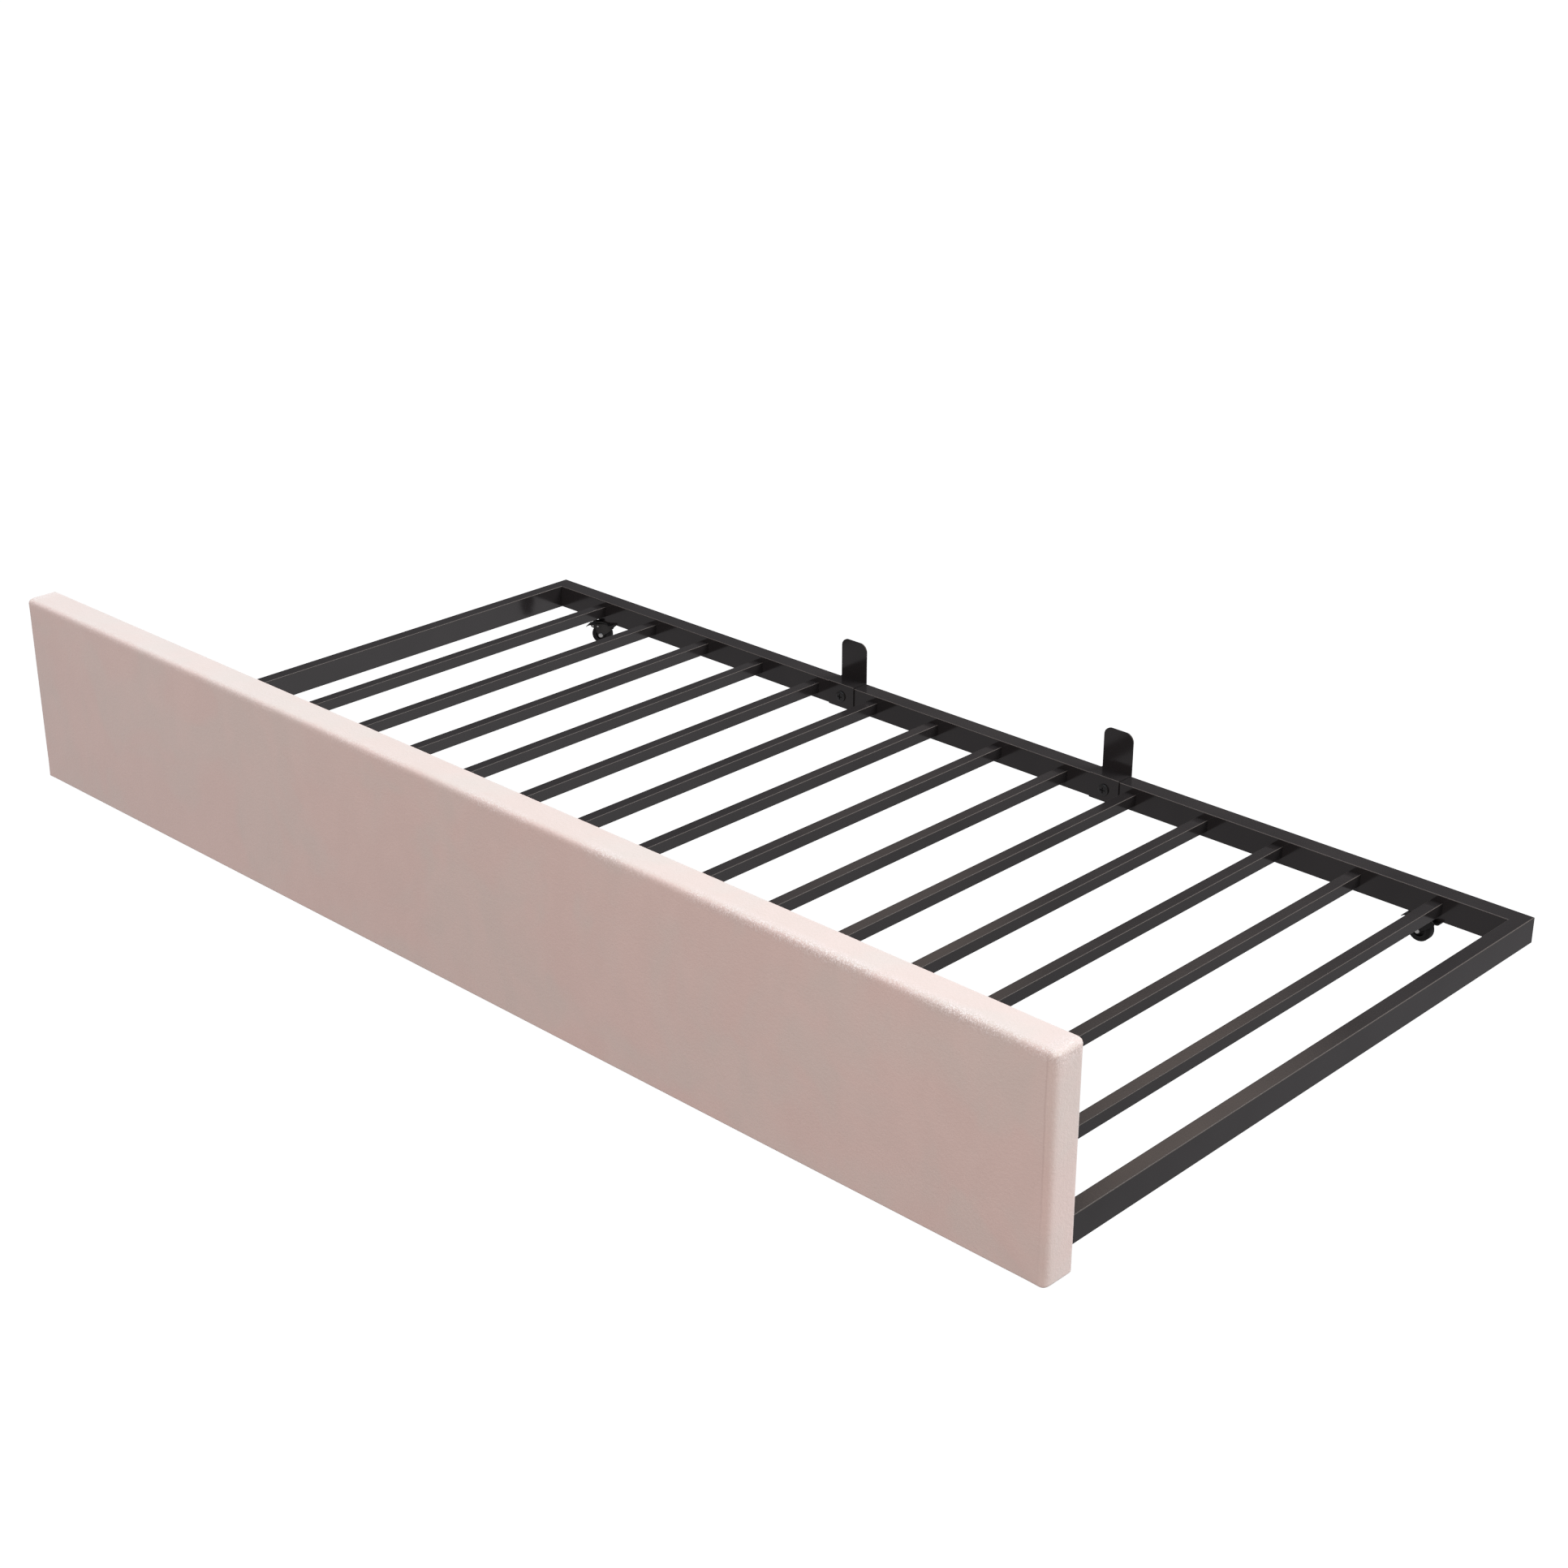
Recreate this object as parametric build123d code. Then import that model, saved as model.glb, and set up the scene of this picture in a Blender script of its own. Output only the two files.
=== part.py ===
from build123d import *

import os

# Trundle bed on four braked casters. Millimetres, +Z up, origin on the floor under the middle of the
# object's box. +X runs along the bed to the right, and -Y faces the front, where the padded panel is.

# Frame
FRAME_LENGTH = 1905.0
FRAME_DEPTH = 991.0
RAIL_HEIGHT = 38.0
LONG_RAIL_WIDTH = 30.0
SIDE_RAIL_WIDTH = 22.0
RAIL_WALL = 1.5
RAIL_EDGE_RADIUS = 1.2
SLAT_COUNT = 14
SLAT_SIZE = 18.0
SLAT_WALL = 1.2
SLAT_EDGE_RADIUS = 0.9
SLAT_DROP = 10.0  # from the rail tops down to the slat tops

# Padded front panel
PANEL_LENGTH = 1936.0
PANEL_HEIGHT = 285.0
PANEL_THICKNESS = 50.0
PANEL_TOP_ABOVE_RAILS = 231.5
PANEL_EDGE_RADIUS = 6.0
COVER_THICKNESS = 2.0
COVER_RETURN_WIDTH = 25.0  # the cover's border on the panel's back
DUST_CLOTH_THICKNESS = 1.0
BOARD_THICKNESS = 16.0
BOARD_MARGIN = 16.0  # foam around the board's edges

SCREW_CLEARANCE = 0.05

# Panel bolts, through the front rail into tee nuts in the board
PANEL_BOLT_PITCHES = (-6, -2, 2, 6)  # places, in slat pitches from the middle
PANEL_BOLT_RADIUS = 3.0
PANEL_BOLT_HOLE_RADIUS = 3.3
PANEL_BOLT_LENGTH = 46.0
PANEL_BOLT_HEAD_RADIUS = 6.5
PANEL_BOLT_HEAD_HEIGHT = 4.0
HEX_KEY_SIZE = 4.0
TEE_NUT_BARREL_RADIUS = 4.0
TEE_NUT_FLANGE_RADIUS = 9.5
TEE_NUT_FLANGE_THICKNESS = 1.5

# Mattress stops on the back rail
STOP_CENTRES = {"left": -258.0, "right": 269.0}
STOP_WIDTH = 53.0
STOP_RISE = 66.5  # tab top above the rail top
STOP_SHEET = 2.0
STOP_CORNER_RADIUS = 13.0
STOP_BEND_RADIUS = 1.2
STOP_SCREW_RADIUS = 4.0
STOP_SCREW_LENGTH = 12.0
STOP_SCREW_HEAD_RADIUS = 9.0
STOP_SCREW_HEAD_HEIGHT = 3.2
CROSS_RECESS_LENGTH = 9.0
CROSS_RECESS_WIDTH = 2.0
CROSS_RECESS_DEPTH = 2.0

# Casters
CASTER_HEIGHT = 42.0
CASTER_X = 816.0
BACK_CASTER_INSET = 20.0  # swivel axis in from the frame's back face
FRONT_CASTER_INSET = 48.0  # swivel axis in from the panel's back face
CASTER_OFFSET = 15.0  # wheel axle behind the swivel axis
CASTER_TURNS = {"rear_left": 28.0, "rear_right": 0.0, "front_left": 0.0, "front_right": 0.0}
WHEEL_RADIUS = 17.5
WHEEL_WIDTH = 14.0
TYRE_INNER_RADIUS = 12.0
TYRE_EDGE_RADIUS = 2.5
HUB_HALF_LENGTH = 7.9
HUB_BOSS_RADIUS = 5.0
HUB_WEB_THICKNESS = 4.0
HUB_RIM_THICKNESS = 2.5
AXLE_RADIUS = 2.5
AXLE_HEAD_RADIUS = 4.0
AXLE_HEAD_HEIGHT = 1.8
RUNNING_CLEARANCE = 0.06
MOVING_GAP = 0.3
PLATE_SIZE = 40.0
PLATE_THICKNESS = 2.0
PLATE_CORNER_RADIUS = 3.0
PLATE_SCALLOP_CHORD = 28.0
PLATE_SCALLOP_DEPTH = 7.0
PLATE_HOLE_RADIUS = 2.2
PLATE_HOLES_X = 15.0
PLATE_HOLES_Y = (13.0, -5.0)  # from the swivel axis
CASTER_SCREW_RADIUS = 2.0
CASTER_SCREW_LENGTH = 9.0
CASTER_SCREW_HEAD_RADIUS = 3.6
CASTER_SCREW_CONE_HEIGHT = 1.6
CASTER_RECESS = (3.6, 0.9, 1.2)  # length, width and depth of the cross
DOME_RIM_SHARE = 0.35  # of a round head's height, up to where it starts to curve in
DOME_CROWN_SHARE = 0.55  # of a round head's radius, the flat part on top
KINGPIN_RADIUS = 3.0
KINGPIN_HEAD_RADIUS = 5.0
KINGPIN_HEAD_HEIGHT = 1.1
BUSH_RADIUS = 11.5
BUSH_THICKNESS = 1.4
FORK_SHEET = 1.6
FORK_BEND_RADIUS = 2.0
FORK_INNER_HALF_WIDTH = 8.2
FORK_DISC_RADIUS = 12.0
FORK_NOSE = 32.0  # from the swivel axis to the end of the fork's hood
CHEEK_HUB_RADIUS = 5.5
PEDAL_PIVOT = (-29.0, 33.2)
PEDAL_HUB_RADIUS = 2.7
PEDAL_PIN_RADIUS = 1.4
PEDAL_LOBE_LENGTH = 3.2
PEDAL_LOBE_RADIUS = 1.2
PEDAL_TRAVEL = 18.0  # degrees
PEDAL_THICKNESS = 1.8
PEDAL_REACH = 43.5
FORK_RIVET = (-20.0, 33.2)
FORK_RIVET_HEAD_RADIUS = 1.7
FORK_RIVET_HEAD_HEIGHT = 0.8

# Caster carriers, behind the front rail and under the end slats
CARRIER_LENGTH = 46.0
CARRIER_DEPTH = 40.0

# Worked out from the above
BACK_Y = (FRAME_DEPTH + PANEL_THICKNESS) / 2
PANEL_BACK_Y = BACK_Y - FRAME_DEPTH
PANEL_FRONT_Y = PANEL_BACK_Y - PANEL_THICKNESS
RAIL_BOTTOM_Z = CASTER_HEIGHT
RAIL_TOP_Z = RAIL_BOTTOM_Z + RAIL_HEIGHT
RAIL_MID_Z = RAIL_BOTTOM_Z + RAIL_HEIGHT / 2
BACK_RAIL_INNER_Y = BACK_Y - LONG_RAIL_WIDTH
FRONT_RAIL_INNER_Y = PANEL_BACK_Y + LONG_RAIL_WIDTH
SLAT_PITCH = FRAME_LENGTH / (SLAT_COUNT + 1)
SLAT_TOP_Z = RAIL_TOP_Z - SLAT_DROP
SLAT_BOTTOM_Z = SLAT_TOP_Z - SLAT_SIZE
PANEL_TOP_Z = RAIL_TOP_Z + PANEL_TOP_ABOVE_RAILS
PANEL_BOTTOM_Z = PANEL_TOP_Z - PANEL_HEIGHT
BOARD_BACK_Y = PANEL_BACK_Y - DUST_CLOTH_THICKNESS
BOARD_FRONT_Y = BOARD_BACK_Y - BOARD_THICKNESS
PLATE_BOTTOM_Z = RAIL_BOTTOM_Z - PLATE_THICKNESS
BUSH_BOTTOM_Z = PLATE_BOTTOM_Z - BUSH_THICKNESS
FORK_TOP_Z = BUSH_BOTTOM_Z - 0.1
FORK_WEB_BOTTOM_Z = FORK_TOP_Z - FORK_SHEET
FORK_HALF_WIDTH = FORK_INNER_HALF_WIDTH + FORK_SHEET
KINGPIN_HEAD_TOP_Z = FORK_WEB_BOTTOM_Z - 0.2
CASTER_AXES = {
    "rear_left": (-CASTER_X, BACK_Y - BACK_CASTER_INSET),
    "rear_right": (CASTER_X, BACK_Y - BACK_CASTER_INSET),
    "front_left": (-CASTER_X, PANEL_BACK_Y + FRONT_CASTER_INSET),
    "front_right": (CASTER_X, PANEL_BACK_Y + FRONT_CASTER_INSET),
}


def block(x0, x1, y0, y1, z0, z1):
    """A plain box between two corners."""
    centre = Location(((x0 + x1) / 2, (y0 + y1) / 2, (z0 + z1) / 2))
    return centre * Box(x1 - x0, y1 - y0, z1 - z0)


def rod(radius, start, end):
    """A cylinder from one point to another."""
    start, end = Vector(*start), Vector(*end)
    plane = Plane(origin=start, z_dir=end - start)
    return extrude(plane * Circle(radius), (end - start).length)


def side_prism(profile, y0, y1):
    """A sketch drawn in X and Z, extruded from y0 to y1 (y0 below y1)."""
    drawn = Plane(origin=(0, y1, 0), x_dir=(1, 0, 0), z_dir=(0, -1, 0)) * profile
    return extrude(drawn, y1 - y0)


def tube_along_x(length, width, height, wall, radius):
    """A rounded hollow tube centred on the origin, along X."""
    outside = extrude(Plane.YZ * RectangleRounded(width, height, radius), length / 2, both=True)
    inside = extrude(Plane.YZ * Rectangle(width - 2 * wall, height - 2 * wall), length, both=True)
    return outside - inside


def tube_along_y(length, width, height, wall, radius):
    """The same tube along Y."""
    return Rotation(0, 0, 90) * tube_along_x(length, width, height, wall, radius)


def mitre_wedge(side):
    """The prism that keeps one rail's share of the frame, between the corner diagonals.

    side is "back", "front", "left" or "right". The diagonals run from each outer corner of the frame
    through the inner corner.
    """
    half = FRAME_LENGTH / 2
    x_in = half - SIDE_RAIL_WIDTH
    outer = {"back": BACK_Y, "front": PANEL_BACK_Y}
    inner = {"back": BACK_RAIL_INNER_Y, "front": FRONT_RAIL_INNER_Y}
    if side in outer:
        points = [(-half, outer[side]), (half, outer[side]), (x_in, inner[side]), (-x_in, inner[side])]
    else:
        sign = 1 if side == "right" else -1
        points = [(sign * half, PANEL_BACK_Y), (sign * half, BACK_Y)]
        points += [(sign * x_in, BACK_RAIL_INNER_Y), (sign * x_in, FRONT_RAIL_INNER_Y)]
    outline = Polyline(*points, close=True)
    return extrude(Plane.XY.offset(RAIL_BOTTOM_Z) * make_face(outline), RAIL_HEIGHT)


def long_rail(side):
    """The back or front rail, mitred at both ends."""
    centre_y = BACK_Y - LONG_RAIL_WIDTH / 2 if side == "back" else PANEL_BACK_Y + LONG_RAIL_WIDTH / 2
    tube = tube_along_x(FRAME_LENGTH, LONG_RAIL_WIDTH, RAIL_HEIGHT, RAIL_WALL, RAIL_EDGE_RADIUS)
    return (Location((0, centre_y, RAIL_MID_Z)) * tube) & mitre_wedge(side)


def side_rail(side):
    """The left or right rail, mitred at both ends."""
    sign = 1 if side == "right" else -1
    centre_x = sign * (FRAME_LENGTH - SIDE_RAIL_WIDTH) / 2
    centre_y = (BACK_Y + PANEL_BACK_Y) / 2
    tube = tube_along_y(FRAME_DEPTH, SIDE_RAIL_WIDTH, RAIL_HEIGHT, RAIL_WALL, RAIL_EDGE_RADIUS)
    return (Location((centre_x, centre_y, RAIL_MID_Z)) * tube) & mitre_wedge(side)


def caster_screw_places(name):
    """The four screw places of one caster, on the underside of the frame."""
    x, y = CASTER_AXES[name]
    return [(x + sign * PLATE_HOLES_X, y + dy) for sign in (-1, 1) for dy in PLATE_HOLES_Y]


def screw_holes(names, depth):
    """Rods for the caster screws' holes, up into the frame from its underside."""
    places = [place for name in names for place in caster_screw_places(name)]
    radius = CASTER_SCREW_RADIUS + SCREW_CLEARANCE
    below = RAIL_BOTTOM_Z - 1
    return [rod(radius, (x, y, below), (x, y, RAIL_BOTTOM_Z + depth)) for x, y in places]


def back_rail():
    """The back rail, with holes for the casters' and the mattress stops' screws."""
    rail = long_rail("back")
    for hole in screw_holes(("rear_left", "rear_right"), RAIL_WALL + 1):
        rail -= hole
    for x in STOP_CENTRES.values():
        start = (x, BACK_RAIL_INNER_Y - 1, RAIL_MID_Z)
        end = (x, BACK_RAIL_INNER_Y + RAIL_WALL + 1, RAIL_MID_Z)
        rail -= rod(STOP_SCREW_RADIUS + SCREW_CLEARANCE, start, end)
    return rail


def front_rail():
    """The front rail, with holes for the panel bolts."""
    rail = long_rail("front")
    for x in panel_bolt_places():
        start = (x, PANEL_BACK_Y - 1, RAIL_MID_Z)
        rail -= rod(PANEL_BOLT_HOLE_RADIUS, start, (x, FRONT_RAIL_INNER_Y + 1, RAIL_MID_Z))
    return rail


def slat(index):
    """One slat, counted from 0 at the left."""
    x = (index - (SLAT_COUNT - 1) / 2) * SLAT_PITCH
    length = BACK_RAIL_INNER_Y - FRONT_RAIL_INNER_Y
    centre_y = (BACK_RAIL_INNER_Y + FRONT_RAIL_INNER_Y) / 2
    tube = tube_along_y(length, SLAT_SIZE, SLAT_SIZE, SLAT_WALL, SLAT_EDGE_RADIUS)
    return Location((x, centre_y, SLAT_TOP_Z - SLAT_SIZE / 2)) * tube


def caster_carriers():
    """Two steel blocks, welded behind the front rail and under the end slats."""
    blocks = []
    for sign in (-1, 1):
        x = sign * CASTER_X
        half = CARRIER_LENGTH / 2
        y0 = FRONT_RAIL_INNER_Y
        blocks.append(block(x - half, x + half, y0, y0 + CARRIER_DEPTH, RAIL_BOTTOM_Z, SLAT_BOTTOM_Z))
    carriers = Compound(children=blocks)
    for hole in screw_holes(("front_left", "front_right"), SLAT_SIZE):
        carriers -= hole
    return carriers


def mattress_stop(x):
    """A strip bent over the back rail, with an upright tab at its outer edge."""
    x0, x1 = x - STOP_WIDTH / 2, x + STOP_WIDTH / 2
    top = RAIL_TOP_Z + STOP_SHEET
    inner = BACK_RAIL_INNER_Y - STOP_SHEET
    leg = block(x0, x1, inner, BACK_Y, RAIL_TOP_Z, top)
    flange = block(x0, x1, inner, BACK_RAIL_INNER_Y, RAIL_BOTTOM_Z, top)
    tab = block(x0, x1, BACK_Y - STOP_SHEET, BACK_Y, top, RAIL_TOP_Z + STOP_RISE)
    tab = fillet(tab.edges().filter_by(Axis.Y).group_by(Axis.Z)[-1], STOP_CORNER_RADIUS)
    stop = leg + flange + tab
    bend = stop.edges().filter_by(Axis.X).filter_by_position(Axis.Z, top - 0.01, top + 0.01)
    stop = fillet(bend.filter_by_position(Axis.Y, inner - 0.01, inner + 0.01), STOP_BEND_RADIUS)
    start = (x, inner - 1, RAIL_MID_Z)
    return stop - rod(STOP_SCREW_RADIUS + SCREW_CLEARANCE, start, (x, BACK_RAIL_INNER_Y + 1, RAIL_MID_Z))


def dome(radius, height):
    """A low round head on the XY plane, rising along +Z, with an almost flat crown."""
    rim = height * DOME_RIM_SHARE
    crown = radius * DOME_CROWN_SHARE
    outline = Polyline((0, 0), (radius, 0), (radius, rim))
    outline += Spline((radius, rim), (crown, height), tangents=[(0, 1), (-1, 0)])
    outline += Polyline((crown, height), (0, height), (0, 0))
    return revolve(Plane.XZ * make_face(outline), Axis.Z)


def stop_screw(x):
    """A truss-head screw with a cross recess, into the back rail's inner wall."""
    length, width, depth = CROSS_RECESS_LENGTH, CROSS_RECESS_WIDTH, CROSS_RECESS_DEPTH
    head = dome(STOP_SCREW_HEAD_RADIUS, STOP_SCREW_HEAD_HEIGHT)
    lift = Location((0, 0, STOP_SCREW_HEAD_HEIGHT))
    head -= lift * Box(length, width, 2 * depth)
    head -= lift * Box(width, length, 2 * depth)
    screw = head + rod(STOP_SCREW_RADIUS, (0, 0, 0), (0, 0, -STOP_SCREW_LENGTH))
    seat = Plane(origin=(x, BACK_RAIL_INNER_Y - STOP_SHEET, RAIL_MID_Z), z_dir=(0, -1, 0))
    return seat.location * screw


def panel_bolt_places():
    """Where the panel bolts are, along X."""
    return [count * SLAT_PITCH for count in PANEL_BOLT_PITCHES]


def panel_bolt(x):
    """A button-head bolt from the rail's inner face into the board."""
    head = dome(PANEL_BOLT_HEAD_RADIUS, PANEL_BOLT_HEAD_HEIGHT)
    key = RegularPolygon(HEX_KEY_SIZE / 2, 6, major_radius=False)
    head -= extrude(Plane.XY.offset(PANEL_BOLT_HEAD_HEIGHT / 2) * key, PANEL_BOLT_HEAD_HEIGHT)
    bolt = head + rod(PANEL_BOLT_RADIUS, (0, 0, 0), (0, 0, -PANEL_BOLT_LENGTH))
    seat = Plane(origin=(x, FRONT_RAIL_INNER_Y, RAIL_MID_Z), z_dir=(0, 1, 0))
    return seat.location * bolt


def tee_nut(x):
    """A flanged barrel nut, let into the board from its foam side."""
    front, back = (x, BOARD_FRONT_Y, RAIL_MID_Z), (x, BOARD_BACK_Y, RAIL_MID_Z)
    flange_end = (x, BOARD_FRONT_Y + TEE_NUT_FLANGE_THICKNESS, RAIL_MID_Z)
    nut = rod(TEE_NUT_FLANGE_RADIUS, front, flange_end) + rod(TEE_NUT_BARREL_RADIUS, front, back)
    return nut - rod(PANEL_BOLT_RADIUS + SCREW_CLEARANCE, front, back)


def board_box():
    """The outside of the panel's board."""
    half = PANEL_LENGTH / 2 - BOARD_MARGIN
    z0, z1 = PANEL_BOTTOM_Z + BOARD_MARGIN, PANEL_TOP_Z - BOARD_MARGIN
    return block(-half, half, BOARD_FRONT_Y, BOARD_BACK_Y, z0, z1)


def panel_board():
    """The panel's board, with seats for the tee nuts."""
    board = board_box()
    for x in panel_bolt_places():
        flange_y = BOARD_FRONT_Y + TEE_NUT_FLANGE_THICKNESS
        seat_start = (x, BOARD_FRONT_Y - 1, RAIL_MID_Z)
        board -= rod(TEE_NUT_FLANGE_RADIUS, seat_start, (x, flange_y, RAIL_MID_Z))
        board -= rod(TEE_NUT_BARREL_RADIUS, seat_start, (x, BOARD_BACK_Y + 1, RAIL_MID_Z))
    return board


def cover_inside():
    """The rounded space inside the cover, which foam and board fill."""
    half = PANEL_LENGTH / 2 - COVER_THICKNESS
    z0, z1 = PANEL_BOTTOM_Z + COVER_THICKNESS, PANEL_TOP_Z - COVER_THICKNESS
    space = block(-half, half, PANEL_FRONT_Y + COVER_THICKNESS, BOARD_BACK_Y, z0, z1)
    return fillet(space.edges(), PANEL_EDGE_RADIUS - COVER_THICKNESS)


def panel_foam():
    """Foam over the board's front and edges."""
    return cover_inside() - board_box()


def back_window(grow):
    """The part of the panel's back inside the cover's border."""
    half = PANEL_LENGTH / 2 - COVER_RETURN_WIDTH
    z0, z1 = PANEL_BOTTOM_Z + COVER_RETURN_WIDTH, PANEL_TOP_Z - COVER_RETURN_WIDTH
    return block(-half, half, BOARD_BACK_Y, PANEL_BACK_Y + grow, z0, z1)


def panel_cover():
    """The fabric cover, with its border turned over the panel's back."""
    half = PANEL_LENGTH / 2
    outside = block(-half, half, PANEL_FRONT_Y, PANEL_BACK_Y, PANEL_BOTTOM_Z, PANEL_TOP_Z)
    outside = fillet(outside.edges(), PANEL_EDGE_RADIUS)
    return outside - cover_inside() - back_window(1)


def panel_dust_cloth():
    """The thin cloth that closes the panel's back."""
    cloth = back_window(0)
    for x in panel_bolt_places():
        start = (x, BOARD_BACK_Y - 1, RAIL_MID_Z)
        cloth -= rod(TEE_NUT_BARREL_RADIUS, start, (x, PANEL_BACK_Y + 1, RAIL_MID_Z))
    return cloth


# Each caster is drawn with its swivel axis on Z, its wheel behind it along -X and the floor at Z = 0.


def caster_plate():
    """The square top plate, with a scallop in each side between the screw holes."""
    sheet = RectangleRounded(PLATE_SIZE, PLATE_SIZE, PLATE_CORNER_RADIUS)
    half_chord, depth = PLATE_SCALLOP_CHORD / 2, PLATE_SCALLOP_DEPTH
    radius = (half_chord**2 + depth**2) / (2 * depth)
    away = PLATE_SIZE / 2 - depth + radius
    for x, y in ((0, away), (0, -away)):
        sheet -= Location((x, y)) * Circle(radius)
    sheet -= Circle(KINGPIN_RADIUS)
    plate = extrude(Plane.XY.offset(PLATE_BOTTOM_Z) * sheet, PLATE_THICKNESS)
    for x in (-PLATE_HOLES_X, PLATE_HOLES_X):
        for y in PLATE_HOLES_Y:
            plate -= Location((x, y, 0)) * countersunk(PLATE_HOLE_RADIUS - CASTER_SCREW_RADIUS)
    return plate


def countersunk(gap):
    """A countersunk screw's shape on the Z axis, flush with the plate's underside and larger by gap."""
    low, top = PLATE_BOTTOM_Z, PLATE_BOTTOM_Z + CASTER_SCREW_LENGTH
    shank, head = CASTER_SCREW_RADIUS + gap, CASTER_SCREW_HEAD_RADIUS + gap
    points = [(0, low), (head, low), (shank, low + CASTER_SCREW_CONE_HEIGHT), (shank, top), (0, top)]
    return revolve(Plane.XZ * make_face(Polyline(*points, close=True)), Axis.Z)


def caster_screw():
    """A countersunk screw, up through the plate from below, with a cross recess."""
    length, width, depth = CASTER_RECESS
    recess = Box(length, width, 2 * depth) + Box(width, length, 2 * depth)
    return countersunk(0) - Location((0, 0, PLATE_BOTTOM_Z)) * recess


def kingpin():
    """The rivet that the fork swivels on, with its head under the fork."""
    head_bottom = KINGPIN_HEAD_TOP_Z - KINGPIN_HEAD_HEIGHT
    pin = rod(KINGPIN_RADIUS, (0, 0, head_bottom), (0, 0, RAIL_BOTTOM_Z))
    return pin + rod(KINGPIN_HEAD_RADIUS, (0, 0, head_bottom), (0, 0, KINGPIN_HEAD_TOP_Z))


def swivel_bush():
    """The plastic washer between the plate and the fork."""
    ring = Circle(BUSH_RADIUS) - Circle(KINGPIN_RADIUS)
    return extrude(Plane.XY.offset(BUSH_BOTTOM_Z) * ring, BUSH_THICKNESS)


def cheek_profile():
    """The side outline of the fork, from its top to the axle."""
    hub = Location((-CASTER_OFFSET, WHEEL_RADIUS)) * Circle(CHEEK_HUB_RADIUS)
    points = [(8, FORK_TOP_Z), (-FORK_NOSE, FORK_TOP_Z), (-FORK_NOSE - 1, 31.5), (-FORK_NOSE + 3, 29.5)]
    points += [(-24.5, 28.5), (-CASTER_OFFSET - CHEEK_HUB_RADIUS, WHEEL_RADIUS)]
    points += [(-CASTER_OFFSET + CHEEK_HUB_RADIUS, WHEEL_RADIUS), (4, 27.5), (9, 32)]
    outline = make_face(Polyline(*points, close=True))
    return outline + hub


def caster_fork():
    """A pressed steel fork: a hood over the wheel, a round top and two cheeks."""
    solid = side_prism(cheek_profile(), -FORK_HALF_WIDTH, FORK_HALF_WIDTH)
    top = extrude(Plane.XY.offset(FORK_WEB_BOTTOM_Z) * Circle(FORK_DISC_RADIUS), FORK_SHEET)
    long_edges = solid.edges().filter_by(Axis.X).group_by(Axis.Z)[-1]
    solid = fillet(long_edges, FORK_BEND_RADIUS) + top
    inner = FORK_INNER_HALF_WIDTH
    solid -= block(-60, 30, -inner, inner, -1, FORK_WEB_BOTTOM_Z)
    centre = (-CASTER_OFFSET, 0, WHEEL_RADIUS)
    solid -= rod(AXLE_RADIUS, (centre[0], -30, centre[2]), (centre[0], 30, centre[2]))
    pivot_x, pivot_z = PEDAL_PIVOT
    solid -= rod(PEDAL_PIN_RADIUS, (pivot_x, -30, pivot_z), (pivot_x, 30, pivot_z))
    rivet_x, rivet_z = FORK_RIVET
    solid -= rod(PEDAL_PIN_RADIUS, (rivet_x, -30, rivet_z), (rivet_x, 30, rivet_z))
    return solid - rod(KINGPIN_RADIUS + RUNNING_CLEARANCE, (0, 0, 20), (0, 0, 50))


def headed_pin(x, z, radius, head_radius, head_height, y_inner):
    """A pin along Y at (x, z), with a domed head outside each cheek, hollow between y_inner if given."""
    outer = FORK_HALF_WIDTH
    pin = rod(radius, (x, -outer, z), (x, outer, z))
    if y_inner:
        pin -= block(x - 9, x + 9, -y_inner, y_inner, z - 9, z + 9)
    for sign in (-1, 1):
        seat = Plane(origin=(x, sign * outer, z), z_dir=(0, sign, 0))
        pin += seat.location * dome(head_radius, head_height)
    return pin


def caster_axle():
    """The wheel's rivet."""
    head = (AXLE_HEAD_RADIUS, AXLE_HEAD_HEIGHT)
    return headed_pin(-CASTER_OFFSET, WHEEL_RADIUS, AXLE_RADIUS, *head, None)


def caster_rivets():
    """The pedal's pivot rivet, and one short rivet in each cheek."""
    head = (FORK_RIVET_HEAD_RADIUS, FORK_RIVET_HEAD_HEIGHT)
    pivot = headed_pin(*PEDAL_PIVOT, PEDAL_PIN_RADIUS, *head, None)
    short = headed_pin(*FORK_RIVET, PEDAL_PIN_RADIUS, *head, FORK_INNER_HALF_WIDTH)
    return Compound(children=[*pivot.solids(), *short.solids()])


def wheel_ring(profile):
    """A profile of radius and half-width points, turned about the wheel's axle."""
    turned = revolve(Plane.XY * profile, Axis.Y)
    return Location((-CASTER_OFFSET, 0, WHEEL_RADIUS)) * turned


def caster_hub():
    """The plastic wheel centre: boss, thin web and rim."""
    bore = AXLE_RADIUS + RUNNING_CLEARANCE
    half_web, half_rim = HUB_WEB_THICKNESS / 2, WHEEL_WIDTH / 2
    rim = TYRE_INNER_RADIUS - HUB_RIM_THICKNESS
    points = [(bore, -HUB_HALF_LENGTH), (HUB_BOSS_RADIUS, -HUB_HALF_LENGTH)]
    points += [(HUB_BOSS_RADIUS, -half_web), (rim, -half_web), (rim, -half_rim), (TYRE_INNER_RADIUS, -half_rim)]
    mirrored = [(x, -y) for x, y in reversed(points)]
    return wheel_ring(make_face(Polyline(*points, *mirrored, close=True)))


def caster_tyre():
    """The soft tread ring on the wheel centre."""
    middle = (TYRE_INNER_RADIUS + WHEEL_RADIUS) / 2
    section = Location((middle, 0)) * Rectangle(WHEEL_RADIUS - TYRE_INNER_RADIUS, WHEEL_WIDTH)
    outer = section.vertices().group_by(Axis.X)[-1]
    return wheel_ring(fillet(outer, TYRE_EDGE_RADIUS))


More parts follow.
